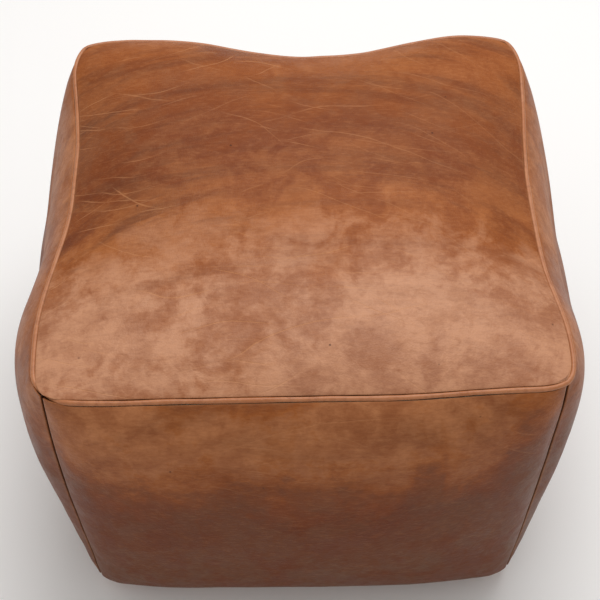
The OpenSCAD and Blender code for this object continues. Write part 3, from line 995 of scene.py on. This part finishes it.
def seam_loop():
    """The top seam's points in order, with the way out of the seam at each."""
    bm = bmesh.new()
    bm.from_mesh(bpy.data.meshes[FORM])
    side = bm.faces.layers.int["side"]
    outward = bm.verts.layers.float_vector["outward"]
    top = SIDES.index("top")
    edges = [e for e in bm.edges if sorted((f[side] == top) for f in e.link_faces) == [False, True]]
    around = {}
    for edge in edges:
        for vert in edge.verts:
            around.setdefault(vert, []).append(edge.other_vert(vert))
    start = min(around, key=lambda v: v.co.x + v.co.y)
    loop, last, here = [start], None, start
    while True:
        onward = [v for v in around[here] if v is not last]
        last, here = here, onward[0]
        if here is start:
            break
        loop.append(here)
    found = [(v.co.copy(), v[outward].normalized()) for v in loop]
    bm.free()
    return found


def tube(name, points, radii, sides):
    """A closed tube along the points, as a mesh."""
    curve = bpy.data.curves.new(name, "CURVE")
    curve.dimensions = "3D"
    curve.bevel_depth = 1.0
    curve.bevel_resolution = sides // 2 - 1
    curve.twist_mode = "Z_UP"
    spline = curve.splines.new("POLY")
    spline.points.add(len(points) - 1)
    for point, place, radius in zip(spline.points, points, radii):
        point.co = (*place, 1.0)
        point.radius = radius
    spline.use_cyclic_u = True
    holder = add_object(name + "_path", curve)
    mesh = baked(holder)
    bpy.data.objects.remove(holder)
    mesh.name = name
    return mesh


class POUF_OT_piping(bpy.types.Operator):
    """Run the piping and its cord round the top seam"""

    bl_idname = "pouf.piping"
    bl_label = "Piping"

    def execute(self, context):
        size = piping_sizes()
        loop = seam_loop()
        middle = [place - out * (size.stand + PIPING_DIVE * (1 - pinched(place, DIVE_REACH)))
                  for place, out in loop]
        drift = lumps(middle, 0.035, 12) * 0.7 * MM
        middle = [place + Vector((0, 0, sway)) for place, sway in zip(middle, drift)]
        uneven = lumps(middle, 0.022, 3) * 0.12 + lumps(middle, 0.07, 8) * 0.12
        thin = np.array([0.6 + 0.4 * pinched(place, DIVE_REACH) for place in middle])
        radii = size.thickness / 2 * (1 + uneven) * thin
        piping = add_object("piping_top", tube("piping_top", middle, radii, 16))
        finish_piece(piping, "pouf", "piping_leather", finish("piping_leather"), "top_welt")
        cord = add_object("piping_cord", tube("piping_cord", middle, [size.cord / 2] * len(middle), 8))
        finish_piece(cord, "pouf", "piping_cord", finish("piping_cord"), "top_welt_cord")
        return {"FINISHED"}


def strip_of_tape(side):
    """One woven tape, with the small waves that sewing leaves in it."""
    low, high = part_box("zip_tape_" + side)
    bm = bmesh.new()
    bmesh.ops.create_grid(bm, x_segments=120, y_segments=4, size=0.5)
    for vert in bm.verts:
        share = (vert.co + Vector((0.5, 0.5, 0)))
        outer = share.y if side == "back" else 1 - share.y
        wave = 0.10 * MM * math.sin(share.x * 95) * outer
        vert.co.x = low.x + (high.x - low.x) * share.x
        vert.co.y = low.y + (high.y - low.y) * share.y
        vert.co.z = high.z - 0.1 * MM + wave
    tape = piece_from(bm, "tape_" + side)
    thicken(tape, high.z - low.z - 0.1 * MM)
    finish_piece(tape, "pouf", "zip_tape", finish("zip_tape"), "zip_tape_" + side)


def row_of_stitches(side):
    """One row of waxed stitches, each drawn down into the leather at its ends."""
    size = zip_sizes()
    low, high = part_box("zip_stitches_" + side)
    thread = high.z - low.z
    middle = Vector((low.x + size.stitch / 2, (low.y + high.y) / 2, (low.z + high.z) / 2))
    bm = bmesh.new()
    bmesh.ops.create_cone(bm, cap_ends=True, segments=6, radius1=thread / 2, radius2=thread / 2,
                          depth=size.stitch, matrix=Matrix.Translation(middle)
                          @ Matrix.Rotation(math.pi / 2, 4, "Y"))
    lengthwise = [e for e in bm.edges if abs(e.verts[0].co.x - e.verts[1].co.x) > MM]
    bmesh.ops.subdivide_edges(bm, edges=lengthwise, cuts=3)
    for vert in bm.verts:
        along = abs(vert.co.x - middle.x) / (size.stitch / 2)
        thin = 1 - 0.25 * along ** 4
        vert.co.y = middle.y + (vert.co.y - middle.y) * thin
        vert.co.z = middle.z + (vert.co.z - middle.z) * thin + thread * 0.7 * along ** 3
    first = bm.verts[:] + bm.edges[:] + bm.faces[:]
    for number in range(1, round((high.x - low.x - size.stitch) / size.pitch) + 1):
        copy = bmesh.ops.duplicate(bm, geom=first)["geom"]
        bmesh.ops.translate(bm, vec=(number * size.pitch, 0, 0),
                            verts=[v for v in copy if isinstance(v, bmesh.types.BMVert)])
    row = piece_from(bm, "stitches_" + side)
    finish_piece(row, "pouf", "thread", finish("thread"), "zip_stitches_" + side)


class POUF_OT_zip(bpy.types.Operator):
    """Lay the zip's tapes, sew them in, and finish its metal"""

    bl_idname = "pouf.zip"
    bl_label = "Zip"

    def execute(self, context):
        for side in ("front", "back"):
            strip_of_tape(side)
            row_of_stitches(side)
        for node in ("zip_teeth_front", "zip_teeth_back", "zip_top_stops", "zip_bottom_stop",
                     "zip_slider", "zip_pull"):
            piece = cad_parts[node]
            piece.data.materials.clear()
            piece.data.materials.append(finish("zip_brass"))
        return {"FINISHED"}


# Each lamp's name, its place, what it points at, its width in metres and its watts.
LAMPS = (("overhead", (0.25, 0.75, 2.4), (0, 0, 0.3), 1.7, 37.0),
         ("front_fill", (-1.6, -1.8, 1.3), (0, 0, 0.2), 1.4, 2.0))
ROOM_COLOUR = (0.98, 0.965, 0.945, 1.0)
ROOM_STRENGTH = 0.58
FLOOR_SIZE = 6.0


class POUF_OT_stage(bpy.types.Operator):
    """Set the floor, the lights and the camera"""

    bl_idname = "pouf.stage"
    bl_label = "Stage"

    def execute(self, context):
        scene = context.scene
        stage = scene.pouf_stage
        bm = bmesh.new()
        bmesh.ops.create_grid(bm, x_segments=1, y_segments=1, size=FLOOR_SIZE)
        floor = piece_from(bm, "floor")
        floor.data.materials.append(finish("plain_floor"))
        for name, place, aim, width, power in LAMPS:
            self.light(name, place, aim, width, power)
        world = bpy.data.worlds.new("soft_room")
        world.use_nodes = True
        sky = world.node_tree.nodes["Background"]
        sky.inputs["Color"].default_value = ROOM_COLOUR
        sky.inputs["Strength"].default_value = ROOM_STRENGTH
        scene.world = world
        lens = bpy.data.cameras.new("camera")
        lens.lens = stage.lens
        camera = bpy.data.objects.new("camera", lens)
        camera.location = stage.camera
        aim = Vector(stage.aim) - Vector(stage.camera)
        camera.rotation_euler = aim.to_track_quat("-Z", "Y").to_euler()
        scene.collection.objects.link(camera)
        scene.camera = camera
        scene.view_settings.view_transform = "Standard"
        return {"FINISHED"}

    def light(self, name, place, aim, width, power):
        lamp = bpy.data.lights.new(name, "AREA")
        lamp.shape = "SQUARE"
        lamp.size = width
        lamp.energy = power
        holder = bpy.data.objects.new(name, lamp)
        holder.location = place
        holder.rotation_euler = (Vector(aim) - Vector(place)).to_track_quat("-Z", "Y").to_euler()
        bpy.context.scene.collection.objects.link(holder)


STEPS = (POUF_OT_form, POUF_OT_bag, POUF_OT_linings, POUF_OT_leather, POUF_OT_piping, POUF_OT_zip,
         POUF_OT_stage)


class POUF_PT_panel(bpy.types.Panel):
    """The pouf's steps, in the order that they are run"""

    bl_idname = "POUF_PT_panel"
    bl_label = "Leather pouf"
    bl_space_type = "VIEW_3D"
    bl_region_type = "UI"
    bl_category = "Pouf"

    def draw(self, context):
        for step in STEPS:
            self.layout.operator(step.bl_idname)


GROUPS = {"pouf_cover": PoufCoverSizes, "pouf_piping": PoufPipingSizes, "pouf_zip": PoufZipSizes,
          "pouf_colours": PoufColours, "pouf_stage": PoufStage}


def register():
    for made in (*GROUPS.values(), *STEPS, POUF_PT_panel):
        bpy.utils.register_class(made)
    for name, made in GROUPS.items():
        setattr(bpy.types.Scene, name, PointerProperty(type=made))


def unregister():
    for name in GROUPS:
        delattr(bpy.types.Scene, name)
    for made in (POUF_PT_panel, *reversed(STEPS), *reversed(tuple(GROUPS.values()))):
        bpy.utils.unregister_class(made)


def main():
    register()
    for step in STEPS:
        family, name = step.bl_idname.split(".")
        getattr(getattr(bpy.ops, family), name)()


if __name__ == "__main__":
    main()
